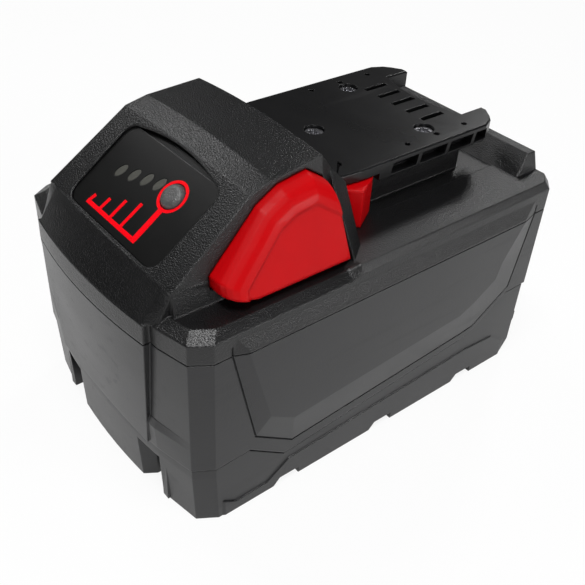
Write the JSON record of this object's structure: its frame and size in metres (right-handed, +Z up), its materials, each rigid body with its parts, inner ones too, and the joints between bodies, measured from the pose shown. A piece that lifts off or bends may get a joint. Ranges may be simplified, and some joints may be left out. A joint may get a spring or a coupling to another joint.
{
  "type": "power tool battery pack",
  "caption": "Slide-on rechargeable battery pack for a cordless power tool, with a sloped level gauge, a T-shaped slide rail and two red squeeze latch buttons.",
  "frame": {"origin": "middle of the casing's length and width, on the surface that the pack stands on", "axes": "+Z up; +X towards the end that enters the tool first; -X the end with the level gauge; the outer shape is alike on both sides of Y = 0"},
  "size_m": [0.1376, 0.089, 0.0934],
  "materials": {
    "casing_grey": "fine spark-eroded grain, dark grey",
    "casing_black": "grained near-black plastic",
    "plate_black": "glass-filled black plastic, lightly grained",
    "latch_red": "glossy red plastic",
    "gauge_black": "smooth satin black",
    "lamp_window": "smoky translucent",
    "button_grey": "satin dark grey",
    "screw_steel": "black-zinc screw steel",
    "spring_steel": "drawn wire",
    "circuit_board": "green solder mask",
    "chip_black": "moulded package",
    "lamp": "clear resin",
    "cable_grey": "flat ribbon insulation",
    "terminal_plastic": "glass-filled black plastic",
    "holder_plastic": "moulded frame plastic",
    "insulation": "pale sheet",
    "nickel": "nickel-plated strip",
    "thermistor_black": "epoxy bead",
    "foam_grey": "closed-cell foam",
    "cell_wrap": "shrink sleeve",
    "contact_copper": "tinned copper alloy"
  },
  "bodies": {
    "pack": {"board_chips": "chip_black", "board_resistor": "chip_black", "board_transistors": "chip_black", "bottom_cover": "casing_grey", "case_screws": "screw_steel", "cell_1_1": "cell_wrap", "cell_1_2": "cell_wrap", "cell_1_3": "cell_wrap", "cell_2_1": "cell_wrap", "cell_2_2": "cell_wrap", "cell_2_3": "cell_wrap", "cell_3_1": "cell_wrap", "cell_3_2": "cell_wrap", "cell_3_3": "cell_wrap", "cell_4_1": "cell_wrap", "cell_4_2": "cell_wrap", "cell_4_3": "cell_wrap", "cell_5_1": "cell_wrap", "cell_5_2": "cell_wrap", "cell_5_3": "cell_wrap", "cell_holder_left": "holder_plastic", "cell_holder_right": "holder_plastic", "contact_1": "contact_copper", "contact_2": "contact_copper", "contact_3": "contact_copper", "contact_4": "contact_copper", "contact_5": "contact_copper", "foam_pad_front": "foam_grey", "foam_pad_rear": "foam_grey", "gauge_board": "circuit_board", "gauge_cable": "cable_grey", "gauge_leds": "lamp", "gauge_panel": "gauge_black", "gauge_switch": "chip_black", "gauge_windows": "lamp_window", "insulator_left": "insulation", "insulator_right": "insulation", "latch_spring_left": "spring_steel", "latch_spring_right": "spring_steel", "main_board": "circuit_board", "mid_shell": "casing_grey", "negative_lead": "nickel", "positive_lead": "nickel", "rail_plate": "plate_black", "rail_screws": "screw_steel", "sense_tabs": "nickel", "strap_left_1": "nickel", "strap_left_2": "nickel", "strap_left_3": "nickel", "strap_right_1": "nickel", "strap_right_2": "nickel", "strap_right_3": "nickel", "terminal_block": "terminal_plastic", "thermistor": "thermistor_black", "top_cover": "casing_black"},
    "latch_left": {"latch_left": "latch_red"},
    "latch_right": {"latch_right": "latch_red"},
    "gauge_button": {"gauge_button": "button_grey"}
  },
  "joints": [
    {"name": "latch_left_press", "type": "slide", "parent": "pack", "child": "latch_left", "axis": [0, -1, 0], "range_m": [0, 0.004], "stiffness_N_per_m": 1500, "springref_m": -0.003, "deforming": ["latch_spring_left"]},
    {"name": "latch_right_press", "type": "slide", "parent": "pack", "child": "latch_right", "axis": [0, 1, 0], "range_m": [0, 0.004], "stiffness_N_per_m": 1500, "springref_m": -0.003, "deforming": ["latch_spring_right"]},
    {"name": "gauge_button_press", "type": "slide", "parent": "pack", "child": "gauge_button", "axis": [0.5922, 0, -0.8058], "range_m": [0, 0.0008], "stiffness_N_per_m": 2000, "springref_m": -0.0005}
  ]
}
